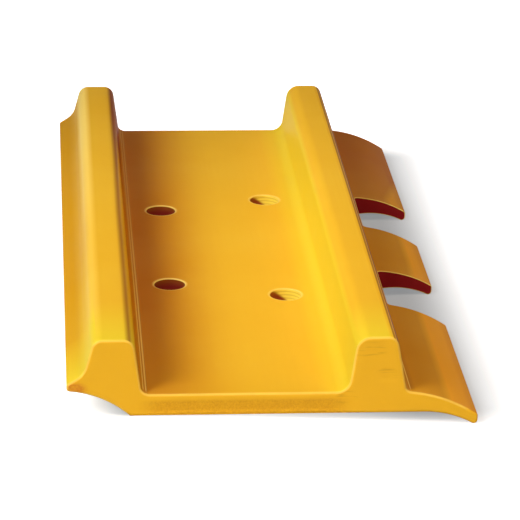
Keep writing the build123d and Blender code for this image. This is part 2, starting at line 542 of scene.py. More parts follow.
def floor_material():
    """Pale floor: it keeps the shoe's shadow, deepened by a painted shadow patch, and where it is
    seen, glows to white round it.
    """
    material = bpy.data.materials.new("pale_floor")
    material.use_nodes = True
    floor = Nodes(material.node_tree)
    floor.tree.nodes.clear()
    _, across, along, _ = floor.object_place()
    inside = shadow_share(floor, across, along)
    outside = floor.minus(1.0, inside)
    shaded = floor.node("ShaderNodeBsdfDiffuse", {"Color": FLOOR_COLOUR})
    open_floor = floor.node("ShaderNodeBsdfDiffuse", {"Color": FLOOR_AWAY})
    plain = floor.node("ShaderNodeMixShader", {0: outside, 1: shaded, 2: open_floor})
    seen = floor.seen_directly()
    lifts = [
        floor.node("ShaderNodeEmission", {"Color": colour, "Strength": floor.times(share, seen)})
        for share, colour in ((inside, SHADE_LIFT), (outside, WHITE_LIFT))
    ]
    glow = floor.node("ShaderNodeAddShader", {0: lifts[0], 1: lifts[1]})
    both = floor.node("ShaderNodeAddShader", {0: plain, 1: glow})
    floor.add("ShaderNodeOutputMaterial", {"Surface": both})
    return material


def studio_floor():
    """The plane that touches the shoe's heel line and its trailing lip."""
    along = (LIP_LINE - HEEL_LINE).normalized()
    across = Vector((0.0, 1.0, 0.0))
    middle = (HEEL_LINE + LIP_LINE) / 2
    corners = [
        middle + FLOOR_HALF_SPAN * (u * along + v * across)
        for u, v in ((-1, -1), (1, -1), (1, 1), (-1, 1))
    ]
    mesh = bpy.data.meshes.new("studio_floor")
    mesh.from_pydata([tuple(c) for c in corners], [], [(0, 1, 2, 3)])
    floor = link(bpy.data.objects.new("studio_floor", mesh))
    mesh.materials.append(floor_material())


class Run:
    """A straight or round stretch of the section's outline. A positive radius turns left."""

    def __init__(self, start, end, radius):
        self.start = Vector(start)
        chord = Vector(end) - self.start
        self.radius = radius
        self.length = chord.length
        self.along = chord.normalized()
        if radius:
            left = Vector((-self.along.y, self.along.x))
            depth = math.sqrt(radius**2 - (self.length / 2) ** 2)
            self.centre = self.start + chord / 2 + left * math.copysign(depth, radius)
            spoke = self.start - self.centre
            self.first_angle = math.atan2(spoke.y, spoke.x)
            self.length = 2 * abs(radius) * math.asin(self.length / 2 / abs(radius))

    def at(self, distance):
        """The point at a distance along the run, and the direction there."""
        if not self.radius:
            return self.start + self.along * distance, self.along
        angle = self.first_angle + distance / self.radius
        spoke = Vector((math.cos(angle), math.sin(angle)))
        along = Vector((-spoke.y, spoke.x)) * math.copysign(1, self.radius)
        return self.centre + spoke * abs(self.radius), along


def rounding(before, after, radius):
    """What a rounding of the corner takes off the runs before and after it, and its centre."""
    arriving, leaving = before.at(before.length)[1], after.at(0)[1]
    side = math.copysign(radius, arriving.x * leaving.y - arriving.y * leaving.x)

    def centres(trim_before, trim_after):
        p, d = before.at(before.length - trim_before)
        q, e = after.at(trim_after)
        return p + side * Vector((-d.y, d.x)), q + side * Vector((-e.y, e.x))

    trims = [radius * math.tan(arriving.angle(leaving) / 2)] * 2
    for _ in range(ROUNDING_PASSES):
        first, second = centres(*trims)
        gap = first - second
        moved = [
            centres(trims[0] + ROUNDING_NUDGE, trims[1]),
            centres(trims[0], trims[1] + ROUNDING_NUDGE),
        ]
        rates = [((a - b) - gap) / ROUNDING_NUDGE for a, b in moved]
        scale = rates[0].x * rates[1].y - rates[0].y * rates[1].x
        trims[0] -= (gap.x * rates[1].y - gap.y * rates[1].x) / scale
        trims[1] -= (rates[0].x * gap.y - rates[0].y * gap.x) / scale
    return trims[0], trims[1], centres(*trims)[0]


def arc_drop(radius, run):
    """How far an arc that starts level has fallen after a horizontal run."""
    return radius - math.sqrt(radius**2 - run**2)


def leading_root():
    """Where the leading grouser's outer face meets the top of the leading lip."""
    face = math.tan(LEADING_OUTER_SLOPE)
    lip_run = 1 / math.tan(LEADING_LIP_SLOPE)
    lip_top = LEADING_TIP_HEIGHT + LEADING_TIP_THICKNESS
    level = LEADING_REACH - OUTER_CROWN_REACH - CROWN_LEVEL * face + lip_top * lip_run
    level /= lip_run - face
    return -OUTER_CROWN_REACH - (CROWN_LEVEL - level) * face, level


def trailing_foot():
    """Where the trailing grouser's outer face meets the lip's upper arc."""
    face = math.tan(TRAILING_OUTER_SLOPE)
    axis_depth = CROWN_LEVEL - PLATE_THICKNESS + LIP_TOP_RADIUS
    spread = 1 + face**2
    root = math.sqrt(axis_depth**2 - spread * (axis_depth**2 - LIP_TOP_RADIUS**2))
    drop = (axis_depth - root) / spread
    return OUTER_CROWN_REACH + drop * face, CROWN_LEVEL - drop


def section_corners():
    """The outline's corners in order: place, rounding, and the radius of the run that follows."""
    lead_top = LEADING_TIP_HEIGHT + LEADING_TIP_THICKNESS
    lead_radius = LEADING_TIP_ROUND_SHARE * LEADING_TIP_THICKNESS
    lip_top = PLATE_THICKNESS - arc_drop(LIP_TOP_RADIUS, TRAILING_REACH - OUTER_CROWN_REACH)
    lip_bottom = -arc_drop(LIP_UNDER_RADIUS, TRAILING_REACH - BEND_REACH)
    tip_radius = TRAILING_TIP_ROUND_SHARE * (lip_top - lip_bottom)
    channel_foot = INNER_CROWN_REACH - (CROWN_LEVEL - PLATE_THICKNESS) * math.tan(CHANNEL_DRAFT)
    return [
        ((-HEEL_REACH, 0.0), HEEL_RADIUS, 0),
        ((BEND_REACH, 0.0), 0, -LIP_UNDER_RADIUS),
        ((TRAILING_REACH, lip_bottom), tip_radius, 0),
        ((TRAILING_REACH, lip_top), tip_radius, LIP_TOP_RADIUS),
        (trailing_foot(), TRAILING_OUTER_FOOT_RADIUS, 0),
        ((OUTER_CROWN_REACH, CROWN_LEVEL), TRAILING_OUTER_CROWN_RADIUS, 0),
        ((INNER_CROWN_REACH, CROWN_LEVEL), TRAILING_INNER_CROWN_RADIUS, 0),
        ((channel_foot, PLATE_THICKNESS), TRAILING_FOOT_RADIUS, 0),
        ((-channel_foot, PLATE_THICKNESS), LEADING_FOOT_RADIUS, 0),
        ((-INNER_CROWN_REACH, CROWN_LEVEL), LEADING_CROWN_RADIUS, 0),
        ((-OUTER_CROWN_REACH, CROWN_LEVEL), LEADING_CROWN_RADIUS, 0),
        (leading_root(), LEADING_SWEEP_RADIUS, 0),
        ((-LEADING_REACH, lead_top), lead_radius, 0),
        ((-LEADING_REACH, LEADING_TIP_HEIGHT), lead_radius, -NEST_RADIUS),
    ]


def section_outline():
    """Points round the rolled section, anticlockwise, as (across, up), and which are raised."""
    corners = section_corners()
    count = len(corners)
    runs = [
        Run(corners[i][0], corners[(i + 1) % count][0], corners[i][2]) for i in range(count)
    ]
    bends = [
        rounding(runs[i - 1], runs[i], corners[i][1]) if corners[i][1] else None
        for i in range(count)
    ]
    points = []
    raised = []
    for i, run in enumerate(runs):
        bend, next_bend = bends[i], bends[(i + 1) % count]
        start = bend[1] if bend else 0.0
        end = run.length - (next_bend[0] if next_bend else 0.0)
        if bend:
            radius = corners[i][1]
            first, _ = runs[i - 1].at(runs[i - 1].length - bend[0])
            last, _ = run.at(start)
            spoke = first - bend[2]
            sweep = spoke.angle_signed(last - bend[2])
            steps = max(BEND_LEAST_STEPS, math.ceil(abs(sweep) / BEND_STEP))
            for k in range(steps):
                turned = Matrix.Rotation(-sweep * k / steps, 2) @ spoke
                if k in ROLLED_LINES.get(i, ()):
                    turned *= 1 - ROLLED_LINE_HEIGHT / radius
                    raised.append(len(points))
                points.append(bend[2] + turned)
        step = LONG_ARC_STEP if run.radius else end - start
        steps = max(1, math.ceil((end - start) / step))
        for k in range(steps):
            points.append(run.at(start + (end - start) * k / steps)[0])
    return points, raised


class ShapeNodes(Nodes):
    """A Geometry Nodes tree with named inputs."""

    def __init__(self, name):
        super().__init__(bpy.data.node_groups.new(name, "GeometryNodeTree"))
        for way in ("INPUT", "OUTPUT"):
            self.tree.interface.new_socket("Geometry", in_out=way, socket_type="NodeSocketGeometry")
        self.start = self.add("NodeGroupInput")
        self.end = self.add("NodeGroupOutput")
        self.sockets = {}

    def size(self, name, kind="NodeSocketFloat"):
        """Declare a named input of the tree and give its socket."""
        item = self.tree.interface.new_socket(name, in_out="INPUT", socket_type=kind)
        self.sockets[name] = item.identifier
        return self.start.outputs[name]

    def place(self, x=0.0, y=0.0, z=0.0):
        """A vector from three numbers or sockets."""
        return self.node("ShaderNodeCombineXYZ", {"X": x, "Y": y, "Z": z})

    def join(self, pieces):
        """Several pieces of geometry as one."""
        return self.node("GeometryNodeJoinGeometry", {"Geometry": pieces})

    def solid(self, outline, height):
        """A closed prism: a flat outline, filled and raised along Z."""
        fill = self.node("GeometryNodeFillCurve", {"Curve": outline}, mode="NGONS")
        raised = self.node(
            "GeometryNodeExtrudeMesh",
            {"Mesh": fill, "Offset": self.place(z=height), "Offset Scale": 1.0, "Individual": False},
        )
        base = self.node("GeometryNodeFlipFaces", {"Mesh": fill})
        shell = self.join([base, raised])
        return self.node(
            "GeometryNodeMergeByDistance", {"Geometry": shell, "Distance": MERGE_DISTANCE}
        )

    def finish(self, geometry, material):
        """End the tree: realize its instances, set the material and link the output."""
        whole = self.node("GeometryNodeRealizeInstances", {"Geometry": geometry})
        painted = self.node("GeometryNodeSetMaterial", {"Geometry": whole, "Material": material})
        self.tree.links.new(painted, self.end.inputs[0])


def run_tree(obj, shape, values):
    """Run a tree on an object's mesh with its inputs set, and keep the result as a plain mesh."""
    modifier = obj.modifiers.new(shape.tree.name, "NODES")
    modifier.node_group = shape.tree
    for name, value in values.items():
        modifier[shape.sockets[name]] = value
    bpy.context.view_layer.update()
    evaluated = obj.evaluated_get(bpy.context.evaluated_depsgraph_get())
    mesh = bpy.data.meshes.new_from_object(evaluated)
    obj.modifiers.remove(modifier)
    old = obj.data
    obj.data = mesh
    bpy.data.meshes.remove(old)


def torch_cuts(shape, plate):
    """The two notches' cutters, each with one square wall and one that flares to the mouth."""
    spacing = shape.size("Notch Spacing")
    mouth = shape.size("Notch Mouth Width")
    flare = shape.size("Notch Flare")
    root = shape.size("Notch Root Reach")
    outside = shape.size("Notch Outside Reach")
    corner = shape.size("Notch Corner Radius")
    half_mouth = shape.times(mouth, 0.5)
    square_wall = shape.times(mouth, -0.5)
    plan = shape.node(
        "GeometryNodeCurvePrimitiveQuadrilateral",
        {
            "Point 1": shape.place(outside, square_wall),
            "Point 2": shape.place(outside, half_mouth),
            "Point 3": shape.place(root, shape.minus(half_mouth, flare)),
            "Point 4": shape.place(root, square_wall),
        },
        mode="POINTS",
    )
    plan = shape.node(
        "GeometryNodeFilletCurve",
        {"Curve": plan, "Radius": corner, "Count": NOTCH_CORNER_STEPS},
        mode="POLY",
    )
    low = shape.times(plate, -NOTCH_CUTTER_SHARE / 2)
    first_place = shape.place(y=shape.times(spacing, -0.5), z=low)
    places = shape.node(
        "GeometryNodeMeshLine",
        {"Count": 2, "Start Location": first_place, "Offset": shape.place(y=spacing)},
        mode="OFFSET",
    )
    cutter = shape.solid(plan, shape.times(plate, NOTCH_CUTTER_SHARE))
    return shape.node("GeometryNodeInstanceOnPoints", {"Points": places, "Instance": cutter})


def drills(shape, plate):
    """The cutters of the four bolt holes: a narrow pair and a wide pair, each in its row."""
    rows = shape.size("Bolt Row Spacing")
    narrow = shape.size("Narrow Pair Spacing")
    wide = shape.size("Wide Pair Spacing")
    hole = shape.size("Bolt Hole Radius")
    places = []
    for side, pair in ((-0.5, narrow), (0.5, wide)):
        start = shape.place(
            shape.times(rows, side), shape.times(pair, -0.5), shape.times(plate, 0.5)
        )
        line = {"Count": 2, "Start Location": start, "Offset": shape.place(y=pair)}
        places.append(shape.node("GeometryNodeMeshLine", line, mode="OFFSET"))
    drill = shape.node(
        "GeometryNodeMeshCylinder",
        {
            "Vertices": BORE_FACETS,
            "Radius": hole,
            "Depth": shape.times(plate, DRILL_CUTTER_SHARE),
        },
    )
    return shape.node(
        "GeometryNodeInstanceOnPoints", {"Points": shape.join(places), "Instance": drill}
    )


def cut_bar_tree():
    """The section swept to a bar, notched twice along the trailing lip and drilled four times."""
    shape = ShapeNodes("cut_shoe_from_bar")
    length = shape.size("Bar Length")
    plate = shape.size("Plate Thickness")
    paint = shape.size("Paint", "NodeSocketMaterial")
    section = shape.node("GeometryNodeMeshToCurve", {"Mesh": shape.start.outputs["Geometry"]})
    bar = shape.node(
        "GeometryNodeTransform",
        {
            "Geometry": shape.solid(section, length),
            "Translation": shape.place(y=shape.times(length, 0.5)),
            "Rotation": (math.radians(90), 0.0, 0.0),
        },
    )
    cutters = shape.join([torch_cuts(shape, plate), drills(shape, plate)])
    tools = shape.node("GeometryNodeRealizeInstances", {"Geometry": cutters})
    cut = shape.node(
        "GeometryNodeMeshBoolean", {"Mesh 1": bar, "Mesh 2": tools}, operation="DIFFERENCE"
    )
    shape.finish(cut, paint)
    return shape


def rolled_bar_cut(paint):
    """The shoe's body, cut from the swept section, its cut edges still sharp."""
    outline, _ = section_outline()
    mesh = bpy.data.meshes.new("section")
    rim = [(i, (i + 1) % len(outline)) for i in range(len(outline))]
    mesh.from_pydata([(p.x, p.y, 0.0) for p in outline], rim, [])
    shoe = link(bpy.data.objects.new("painted_shoe", mesh))
    sizes = {
        "Bar Length": SHOE_LENGTH,
        "Plate Thickness": PLATE_THICKNESS,
        "Notch Spacing": NOTCH_SPACING,
        "Notch Mouth Width": NOTCH_MOUTH_WIDTH,
        "Notch Flare": NOTCH_FLARE,
        "Notch Root Reach": NOTCH_ROOT_REACH,
        "Notch Outside Reach": NOTCH_OUTSIDE_REACH,
        "Notch Corner Radius": NOTCH_CORNER_RADIUS,
        "Bolt Row Spacing": BOLT_ROW_SPACING,
        "Narrow Pair Spacing": NARROW_PAIR_SPACING,
        "Wide Pair Spacing": WIDE_PAIR_SPACING,
        "Bolt Hole Radius": BOLT_HOLE_RADIUS,
        "Paint": paint,
    }
    run_tree(shoe, cut_bar_tree(), sizes)
    return shoe


def hole_axes():
    """Where the four bolt holes stand, as (x, y)."""
    return [
        (row * BOLT_ROW_SPACING / 2, side * pair / 2)
        for row, pair in ((-1, NARROW_PAIR_SPACING), (1, WIDE_PAIR_SPACING))
        for side in (-1, 1)
    ]


def from_hole(point):
    """How far a point is from the nearest bolt hole's axis."""
    return min(math.hypot(point.x - x, point.y - y) for x, y in hole_axes())


def cut_edge_kind(edge):
    """Which cut left a sharp edge: the end, a bolt hole or a notch."""
    middle = (edge.verts[0].co + edge.verts[1].co) / 2
    if abs(middle.y) > HALF_LENGTH - CLOSE:
        return "end"
    if abs(from_hole(middle) - BOLT_HOLE_RADIUS) < HOLE_EDGE_RADIUS:
        return "hole"
    return "notch"


def round_cut_edges(bm):
    """Round the edges that the cuts left sharp, and mark the faces of the roundings."""
    mark = bm.faces.layers.int.new("rounded")
    widths = {"end": END_EDGE_RADIUS, "hole": HOLE_EDGE_RADIUS, "notch": NOTCH_EDGE_RADIUS}
    for kind, width in widths.items():
        sharp = [
            e
            for e in bm.edges
            if len(e.link_faces) == 2
            and e.calc_face_angle() > SHARP_ANGLE
            and cut_edge_kind(e) == kind
        ]
        made = bmesh.ops.bevel(
            bm,
            geom=sharp,
            offset=width,
            offset_type="OFFSET",
            segments=EDGE_SEGMENTS,
            profile=0.5,
            affect="EDGES",
            clamp_overlap=False,
        )
        for face in made["faces"]:
            face[mark] = 1


def inside_points(rim):
    """Points of a staggered grid that lie well inside a flat outline."""
    rim = np.array(rim)
    low, high = rim.min(0), rim.max(0)
    rows = np.arange(low[1], high[1], CUT_GRID_STEP * math.sin(math.radians(60)))
    grid = np.array([
        (x + (k % 2) * CUT_GRID_STEP / 2, y)
        for k, y in enumerate(rows)
        for x in np.arange(low[0], high[0], CUT_GRID_STEP)
    ])
    within = np.zeros(len(grid), bool)
    gap = np.full(len(grid), np.inf)
    for start, end in zip(rim, np.roll(rim, -1, 0)):
        run = end - start
        if run[1]:
            crosses = (start[1] > grid[:, 1]) != (end[1] > grid[:, 1])
            meets = start[0] + (grid[:, 1] - start[1]) / run[1] * run[0]
            within ^= crosses & (grid[:, 0] < meets)
        share = ((grid - start) @ run) / (run @ run)
        nearest = start + np.clip(share, 0, 1)[:, None] * run
        gap = np.minimum(gap, np.linalg.norm(grid - nearest, axis=1))
    return grid[within & (gap > RIM_CLEARANCE)]


def refine_flat_face(bm, face):
    """Replace a flat face by small even triangles, its rim divided as finely."""
    for edge in list(face.edges):
        corner = edge.verts[0]
        for count in range(math.ceil(edge.calc_length() / RIM_STEP), 1, -1):
            _, corner = bmesh.utils.edge_split(edge, corner, 1 / count)
    normal = face.normal.copy()
    across = Vector((-normal.y, normal.x, 0.0)).normalized()
    up = normal.cross(across)
    corners = list(face.verts)
    origin = corners[0].co.copy()
    rim = [((v.co - origin).dot(across), (v.co - origin).dot(up)) for v in corners]
    flat = [Vector(p) for p in rim] + [Vector(p) for p in inside_points(rim)]
    points, _, triangles, sources, _, covers = delaunay_2d_cdt(
        flat, [], [list(range(len(rim)))], 0, MERGE_DISTANCE, True
    )
    bm.faces.remove(face)
    made = []
    for point, source in zip(points, sources):
        if source and source[0] < len(rim):
            made.append(corners[source[0]])
        else:
            made.append(bm.verts.new(origin + across * point.x + up * point.y))
    for triangle, cover in zip(triangles, covers):
        if not cover:
            continue
        one = bm.faces.new([made[i] for i in triangle])
        one.normal_update()
        if one.normal.dot(normal) < 0:
            one.normal_flip()


def is_notch_wall(face):
    """Whether an upright face is one of the notches' flat walls."""
    middle = face.calc_center_median()
    if middle.x < NOTCH_ROOT_REACH - CLOSE or abs(middle.y) > NOTCH_SPACING:
        return False
    return face.calc_area() > NOTCH_WALL_AREA


def refine_cut_faces(bm):
    """Divide the cut faces finely enough to carry the marks of the tools."""
    bores = []
    for face in list(bm.faces):
        middle = face.calc_center_median()
        if abs(face.normal.y) > END_SQUARENESS and abs(middle.y) > HALF_LENGTH - CLOSE:
            refine_flat_face(bm, face)
        elif abs(face.normal.z) < BORE_WALL_LEAN and from_hole(middle) < BOLT_HOLE_RADIUS:
            bores.append(face)
        elif abs(face.normal.z) < FLAT_WALL_LEAN and is_notch_wall(face):
            refine_flat_face(bm, face)
    upright = {
        edge
        for face in bores
        for edge in face.edges
        if abs((edge.verts[0].co - edge.verts[1].co).z) > PLATE_THICKNESS / 2
    }
    bmesh.ops.subdivide_edges(bm, edges=list(upright), cuts=BORE_RINGS, use_grid_fill=True)


def ramp(value, start, end):
    """0 at start, 1 at end, and smooth between."""
    share = min(max((value - start) / (end - start), 0.0), 1.0)
    return share * share * (3 - 2 * share)


def patch(x, z, middle_x, middle_z, half_width, half_height):
    """1 in the middle of an oval patch of an end face, and 0 outside it."""
    away = math.hypot((x / MM - middle_x) / half_width, (z / MM - middle_z) / half_height)
    return ramp(away, *PATCH_RIM_SHARES)


def bore_shade_share(point):
    """1 where a bolt hole's wall takes the painted deep shade, 0 where it stays lit yellow."""
    if point.x < 0:
        return 1.0
    reach = BORE_LIT_DEPTH + BORE_LIT_SLANT * (point.x - BOLT_ROW_SPACING / 2) / BOLT_HOLE_RADIUS
    return ramp(PLATE_THICKNESS - point.z - reach, -BORE_SHADE_FADE, BORE_SHADE_FADE)


def mark_rolled_lines(bm, rolled_line, crease):
    """Mark the raised lines along the feet of the grousers, and the creases beside them."""
    outline, raised = section_outline()
    lines = [outline[i] for i in raised]
    creases = [outline[i + side] for i in raised for side in (-1, 1)]
    for vert in bm.verts:
        x, y, z = vert.co
        if abs(y) < HALF_LENGTH - END_EDGE_RADIUS + CLOSE:
            place = Vector((x, z))
            vert[rolled_line] = float(any((place - p).length < CLOSE for p in lines))
            vert[crease] = float(any((place - p).length < CLOSE for p in creases))


def mark_ends(bm, fracture, sheared, sawn, thin_paint):
    """Mark the fractured band, the saw marks and the thin paint of the sheared ends."""
    for vert in bm.verts:
        x, y, z = vert.co
        if abs(y) <= HALF_LENGTH - END_EDGE_RADIUS:
            continue
        out = ramp(abs(y), HALF_LENGTH - END_EDGE_RADIUS, HALF_LENGTH)
        low = ramp(z, FRACTURE_TOP, FRACTURE_TOP - FRACTURE_FADE)
        foot = ramp(z, END_EDGE_RADIUS, END_EDGE_RADIUS + FRACTURE_FADE)
        between = ramp(x, -FRACTURE_REACH, -FRACTURE_REACH + FRACTURE_SIDE_FADE)
        between *= ramp(x, FRACTURE_REACH, FRACTURE_REACH - FRACTURE_SIDE_FADE)
        vert[fracture] = out * low * foot * between
        vert[sheared] = low * between
        vert[sawn] = out * max(patch(x, z, *oval) for oval in SAWN_PATCHES)
        vert[thin_paint] = out * max(patch(x, z, *oval) for oval in THIN_PATCHES)


def mark_edge_highlights(bm, worn_edge):
    """Mark how strong the painted highlight on the rounded edges is."""
    rounded = bm.faces.layers.int["rounded"]
    for vert in bm.verts:
        if not all(face[rounded] for face in vert.link_faces):
            continue
        x, y, z = vert.co
        if abs(y) > HALF_LENGTH - END_EDGE_RADIUS:
            vert[worn_edge] = END_HIGHLIGHT_SHARE if z > END_EDGE_RADIUS else 0.0
        elif 0 < x < NOTCH_ROOT_REACH - CLOSE:
            vert[worn_edge] = TRAILING_HOLE_HIGHLIGHT_SHARE
        else:
            vert[worn_edge] = FULL_HIGHLIGHT_SHARE


def mark_cut_walls(bm, torch_cut, drilled, red_primer):
    """Mark the walls of the bolt holes and of the notches, and where they take the painted deep
    shade.
    """
    rounded = bm.faces.layers.int["rounded"]
    for face in bm.faces:
        if face[rounded] or abs(face.normal.z) > BORE_WALL_LEAN:
            continue
        middle = face.calc_center_median()
        if from_hole(middle) < BOLT_HOLE_RADIUS:
            for vert in face.verts:
                vert[drilled] = 1.0
                vert[red_primer] = bore_shade_share(vert.co)
        elif middle.x > NOTCH_ROOT_REACH - CLOSE and abs(middle.y) < NOTCH_SPACING:
            if middle.x < TRAILING_REACH - CLOSE or abs(face.normal.x) < TIP_SQUARENESS:
                for vert in face.verts:
                    vert[torch_cut] = 1.0
                    vert[red_primer] = 1.0


def mark_finishes(bm):
    """Say on each vertex which tool cut it, for the tool marks and for the paint, and where the
    painted highlights and painted deep shade go.
    """
    layers = bm.verts.layers.float
    fracture = layers.new("fracture")
    sheared = layers.new("sheared")
    torch_cut = layers.new("torch_cut")
    drilled = layers.new("drilled")
    red_primer = layers.new("red_primer")
    worn_edge = layers.new("worn_edge")
    rolled_line = layers.new("rolled_line")
    crease = layers.new("crease")
    sawn = layers.new("sawn")
    thin_paint = layers.new("thin_paint")
    mark_rolled_lines(bm, rolled_line, crease)
    mark_ends(bm, fracture, sheared, sawn, thin_paint)
    mark_edge_highlights(bm, worn_edge)
    mark_cut_walls(bm, torch_cut, drilled, red_primer)


def tool_marks_tree():
    """Shear fracture on the ends, drag lines down the notch walls and rings in the bores."""
    shape = ShapeNodes("tool_marks")
    sizes = {name: shape.size(name) for name in TOOL_MARKS}
    paint = shape.size("Paint", "NodeSocketMaterial")

    def mask(name):
        return shape.node("GeometryNodeInputNamedAttribute", {"Name": name}, data_type="FLOAT")

    def relief(place, pitch, depth):
        settings = {
            "Vector": place,
            "W": sizes["Seed"],
            "Scale": shape.maths("DIVIDE", 1.0, pitch),
            "Detail": MARK_DETAIL,
            "Roughness": MARK_ROUGHNESS,
        }
        return shape.times(shape.node("ShaderNodeTexNoise", settings, noise_dimensions="4D"), depth)

    position = shape.node("GeometryNodeInputPosition")
    x, y, z = shape.add("ShaderNodeSeparateXYZ", {0: position}).outputs

    top = sizes["Fracture Top"]
    leaning = shape.times(
        shape.maths("DIVIDE", shape.minus(top, z), top), sizes["Fracture Lean"]
    )
    grain = relief(position, sizes["Fracture Grain Size"], sizes["Fracture Grain Depth"])
    fracture = shape.times(mask("fracture"), shape.plus(leaning, grain))

    down = shape.place(x, y, shape.times(z, sizes["Drag Line Squeeze"]))
    drag = relief(down, sizes["Drag Line Pitch"], sizes["Drag Line Depth"])
    torch = shape.times(mask("torch_cut"), drag)

    sideways = shape.place(shape.times(x, sizes["Saw Line Squeeze"]), y, z)
    saw = relief(sideways, sizes["Saw Line Pitch"], sizes["Saw Line Depth"])
    sawn = shape.times(mask("sawn"), saw)

    turns = shape.times(shape.maths("DIVIDE", z, sizes["Drill Ring Pitch"]), 2 * math.pi)
    wave = shape.times(shape.plus(shape.maths("SINE", turns), 1.0), 0.5)
    drilled = shape.times(mask("drilled"), shape.times(wave, sizes["Drill Ring Depth"]))

    inward = shape.plus(shape.plus(fracture, sawn), shape.plus(torch, drilled))
    offset = shape.node(
        "ShaderNodeVectorMath",
        {0: shape.node("GeometryNodeInputNormal"), "Scale": shape.times(inward, -1.0)},
        operation="SCALE",
    )
    moved = shape.node(
        "GeometryNodeSetPosition", {"Geometry": shape.start.outputs["Geometry"], "Offset": offset}
    )
    shape.finish(moved, paint)
    return shape


class PaintNodes(Nodes):
    """The paint's shader, with the place on the shoe at hand."""

    def __init__(self, tree):
        super().__init__(tree)
        self.place, self.x, self.y, self.z = self.object_place()
        self.from_middle = self.maths("ABSOLUTE", self.y)
        self.outward = self.minus(self.x, self.total(LIP_SHADOW_SPREADS))

    def noise(self, scale, detail, roughness, stretch):
        """A noise over the shoe, stretched along each axis."""
        field = self.node("ShaderNodeMapping", {"Vector": self.place, "Scale": stretch})
        settings = {"Vector": field, "Scale": scale, "Detail": detail, "Roughness": roughness}
        return self.add("ShaderNodeTexNoise", settings).outputs["Fac"]

    def mask(self, name):
        """What the mesh says about a finish."""
        return self.add("ShaderNodeAttribute", attribute_name=name).outputs["Fac"]

    def blend(self, share, first, second):
        """A share of the second colour over the first."""
        mix = self.add("ShaderNodeMix", {0: share, 6: first, 7: second}, data_type="RGBA")
        return mix.outputs[2]

    def band(self, band):
        """A band's share at the place."""
        return self.span(getattr(self, band.way), band.start, band.end, band.first, band.last)

    def zone(self, bands):
        """A zone's share at the place: its bands, multiplied."""
        share = self.band(bands[0])
        for band in bands[1:]:
            share = self.times(share, self.band(band))
        return share

    def total(self, bands):
        """Bands, added."""
        share = self.band(bands[0])
        for band in bands[1:]:
            share = self.plus(share, self.band(band))
        return share


def grouser_shadow_share(paint, clouds):
    """The grousers' painted shadow: on the leading side of the channel, and on the lip."""
    channel = paint.times(
        paint.above(paint.x, CHANNEL_SHADOW_START),
        paint.span(paint.x, *CHANNEL_SHADOW_FADE, smooth=True),
    )
    channel = paint.times(channel, paint.zone(CHANNEL_SHADOW_ALONG))
    lip = paint.times(paint.zone(LIP_SHADOW_FOOT), paint.total(LIP_SHADOW_PARTS))
    return paint.times(paint.plus(channel, lip), paint.span(clouds, *PAINTED_SHADOW_CLOUD_SHARES))


def near_end_light_share(paint):
    """Painted light at the near end of the crowns and of the leading flank."""
    crowns = paint.above(paint.z, CROWN_FOOT_LEVEL)
    flank = paint.above(LEADING_FLANK_START, paint.x)
    return paint.times(paint.plus(crowns, flank), paint.zone(NEAR_END_LIGHT))


def shade_line_share(paint):
    """The painted shade line along the leading crown's inner rounding."""
    inner = paint.minus(paint.x, paint.band(SHADE_LINE_SHIFTS))
    spread = paint.band(SHADE_LINE_SPREADS)
    line = paint.times(paint.span(inner, *SHADE_LINE_START), paint.band(SHADE_LINE_DEPTHS))
    line = paint.times(line, paint.span(inner, *SHADE_LINE_END, 1.0, spread))
    flank = paint.times(paint.above(SHADE_LINE_LIMIT, paint.x), paint.zone(SHADE_LINE_FLANK))
    return paint.times(line, flank)


def crown_edge_shade_share(paint):
    """The two painted shade lines along the trailing crown's outer rounding."""
    flank_shade_line = paint.times(paint.zone(FLANK_SHADE_LINE), paint.above(paint.x, FLANK_SHADE_LINE_START))
    lines = paint.plus(paint.zone(CROWN_SHADE_LINE), flank_shade_line)
    return paint.times(lines, paint.above(paint.z, CROWN_FOOT_LEVEL))


def hole_rim_highlight_share(paint):
    """The painted highlight ring on the plate round each bolt hole."""
    half_pair = paint.span(paint.x, *ROW_CHANGE, NARROW_PAIR_SPACING / 2, WIDE_PAIR_SPACING / 2)
    from_row = paint.minus(paint.maths("ABSOLUTE", paint.x), BOLT_ROW_SPACING / 2)
    from_pair = paint.minus(paint.from_middle, half_pair)
    square = paint.plus(paint.times(from_row, from_row), paint.times(from_pair, from_pair))
    fade = [BOLT_HOLE_RADIUS + reach for reach in HOLE_RIM_HIGHLIGHT_FADE]
    ring = paint.span(paint.maths("SQRT", square), *fade, HOLE_RIM_HIGHLIGHT_SHARE, 0.0)
    plate = paint.times(
        paint.above(paint.z, PLATE_THICKNESS - CLOSE), paint.above(PLATE_THICKNESS + CLOSE, paint.z)
    )
    return paint.times(ring, plate)


def streaks_and_painted_light(paint, clouds, streaks):
    """The paint's streaks, then its painted light, shadow, shade and highlights, each with its
    share, in order.
    """
    return [
        (paint.span(streaks, *STREAK_SHARES), PAINT_DEEP),
        (paint.zone(LIT_FLANK), PAINT_LIT),
        (paint.zone(LIP_LIGHT_BAND), PAINT_LIP_LIGHT),
        # Painted shadow of the grousers
        (grouser_shadow_share(paint, clouds), PAINT_SHADOW),
        (paint.zone(LEADING_FLANK_SHADE), PAINT_FLANK_SHADE),
        (paint.zone(LEADING_SHOULDER_HIGHLIGHT), PAINT_HIGHLIGHT),
        (paint.zone(LEADING_RIM_HIGHLIGHT), PAINT_EDGE_HIGHLIGHT),
        (near_end_light_share(paint), PAINT_LIT),
        (shade_line_share(paint), PAINT_LINE_SHADE),
        (paint.zone(TRAILING_CROWN_LIGHT), PAINT_CROWN_LIGHT),
        (crown_edge_shade_share(paint), PAINT_LINE_SHADE),
        # Painted light on the end faces
        (paint.above(paint.from_middle, HALF_LENGTH - END_EDGE_RADIUS / 2), PAINT_END_LIGHT),
    ]


